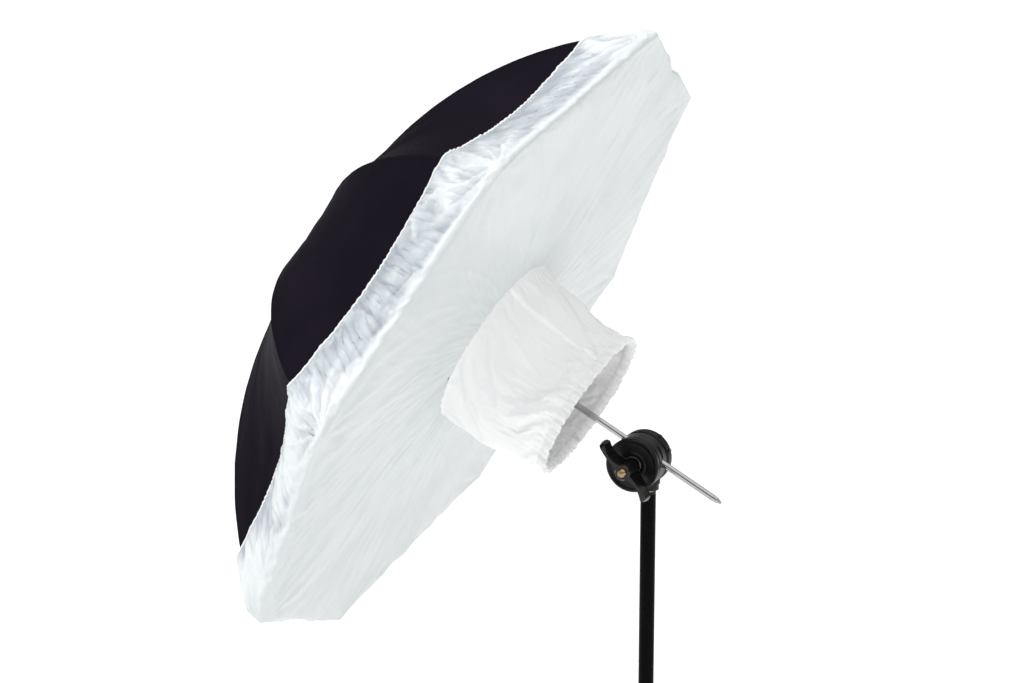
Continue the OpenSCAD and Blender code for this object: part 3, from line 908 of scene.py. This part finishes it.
def build_sleeve():
    a, radius, height, tape = sleeve_grid()
    points = ring_points(a, radius, height)
    down = np.linspace(0, 1, SLEEVE_ROWS)
    held = np.where((down < 0.03) | (down > 0.985), 1.0, 0.0)
    n = normals_of(points)
    slack = SLEEVE_SLACK[0] + SLEEVE_SLACK[1] * down ** 2
    points = points + capped(settled(points, held, slack, 0.6), n, SLEEVE_PLAY, SLEEVE_PLAY, SLEEVE_PLAY)
    points = points + normals_of(points) * (TAPE_THICK * tape)[..., None]
    faces = grid_faces(SLEEVE_ROWS, SLEEVE_COLUMNS, closed=True)
    cloths = [FINISH["sleeve_cloth"]]
    obj = mesh_object("sleeve_cloth", points.reshape(-1, 3), faces, cloths, marks={"tape": tape})
    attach(obj, "umbrella")
    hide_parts("cover_sleeve")
    build_mouth(a[-1], radius[-1], height[-1])


def build_mouth(a, radius, height):
    """The elastic's casing, ruffled in and out, round the sleeve's mouth."""
    rows = []
    turn = np.linspace(0, math.tau, CASING_COLUMNS, endpoint=False)
    ruffle = mouth_ruffle(a)
    flare = creases(polar(a, a * 0, turns=11, scale=1), seed=73) - 0.4
    ragged = wander(polar(a, a * 0, turns=23, scale=1), seed=75)
    for s in turn:
        low = (1 - math.sin(s)) / 2
        out = CASING_HALF * math.cos(s) * (1 + 0.3 * ruffle)
        down = CASING / 2 * math.sin(s) * (1 + 0.16 * flare * low + 0.20 * ragged * low)
        wave = 2.1 * MM * ruffle * (0.45 + 1.1 * low ** 2) + 2.8 * MM * flare * low ** 2
        ring_radius = radius - 0.8 * MM + out + wave + 1.5 * MM * low ** 2
        ring_height = height - CASING / 2 + 2 * MM + down
        rows.append(ring_points(a, ring_radius, ring_height))
    points = np.array(rows)[::-1]
    faces = grid_faces(len(rows), SLEEVE_COLUMNS, closed=True)
    last = (len(rows) - 1) * SLEEVE_COLUMNS
    for j in range(SLEEVE_COLUMNS):
        n = (j + 1) % SLEEVE_COLUMNS
        faces.append((last + j, last + n, n, j))
    obj = mesh_object("sleeve_mouth", points.reshape(-1, 3), faces, [FINISH["sleeve_cloth"]])
    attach(obj, "umbrella")
    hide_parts("sleeve_band")


# ---------------------------------------------------------------- floor, lights and camera

AMBIENT_LOW = 0.08              # the studio's walls
AMBIENT_HIGH = 1.20             # its lit ceiling
AMBIENT_HORIZON = 0.65          # the white backdrop, low down behind the floor
CEILING_SPAN = (0.28, 0.80)     # from the walls to the ceiling, as the height of a direction of length 1
BACKDROP_SPAN = (0.07, 0.10)    # from the backdrop to the walls
FLOOR_HALF = 90.0
FLOOR_HEIGHT = -1 * MM


def build_floor():
    mesh = bpy.data.meshes.new("floor")
    corners = [(-1, -1), (1, -1), (1, 1), (-1, 1)]
    points = [(x * FLOOR_HALF, y * FLOOR_HALF, FLOOR_HEIGHT) for x, y in corners]
    mesh.from_pydata(points, [], [(0, 1, 2, 3)])
    floor = bpy.data.objects.new("floor", mesh)
    bpy.context.scene.collection.objects.link(floor)
    mesh.materials.append(nodes_of("floor", (0.92, 0.92, 0.92), 0.9)[0])


def build_world():
    """Soft light from above, with a light band behind the floor's far edge."""
    world = bpy.data.worlds.new("studio")
    bpy.context.scene.world = world
    world.use_nodes = True
    tree = world.node_tree
    back = tree.nodes["Background"]
    back.inputs["Color"].default_value = (1, 1, 1, 1)
    place = add(tree, "ShaderNodeTexCoord")
    split = add(tree, "ShaderNodeSeparateXYZ")
    tree.links.new(place.outputs["Generated"], split.inputs["Vector"])
    height = split.outputs["Z"]
    ceiling = ranged(tree, height, *CEILING_SPAN, AMBIENT_LOW, AMBIENT_HIGH)
    backdrop = ranged(tree, height, *BACKDROP_SPAN, AMBIENT_HORIZON, 0.0)
    tree.links.new(math_of(tree, "MAXIMUM", ceiling, backdrop), back.inputs["Strength"])


def sun(name, towards, strength, softness):
    """A lamp like a big soft box, far off in that direction."""
    light = bpy.data.lights.new(name, "SUN")
    light.energy = strength
    light.angle = math.radians(softness)
    obj = bpy.data.objects.new(name, light)
    obj.rotation_euler = Vector(towards).to_track_quat("Z", "Y").to_euler()
    bpy.context.scene.collection.objects.link(obj)


# The photograph's view
VIEW_AZIMUTH = 21.78            # degrees, from a look along +Y
VIEW_ELEVATION = 11.75          # degrees, looking down
VIEW_PLACE = (0.864, -2.611, 1.320)
LENS = 81.8
SENSOR = 36


def build_camera():
    camera = bpy.data.cameras.new("camera")
    camera.lens = LENS
    camera.sensor_width = SENSOR
    obj = bpy.data.objects.new("camera", camera)
    bpy.context.scene.collection.objects.link(obj)
    obj.location = VIEW_PLACE
    obj.rotation_euler = (math.radians(90 - VIEW_ELEVATION), 0, math.radians(VIEW_AZIMUTH))
    bpy.context.scene.camera = obj


build_canopy()
build_cover()
build_sleeve()
paint_cad()
build_floor()
build_world()
sun("key", (-0.60, -0.60, 0.95), 1.85, 16)
sun("fill", (0.9, -0.45, 0.35), 0.18, 50)
build_camera()
bpy.context.scene.view_settings.view_transform = "Standard"
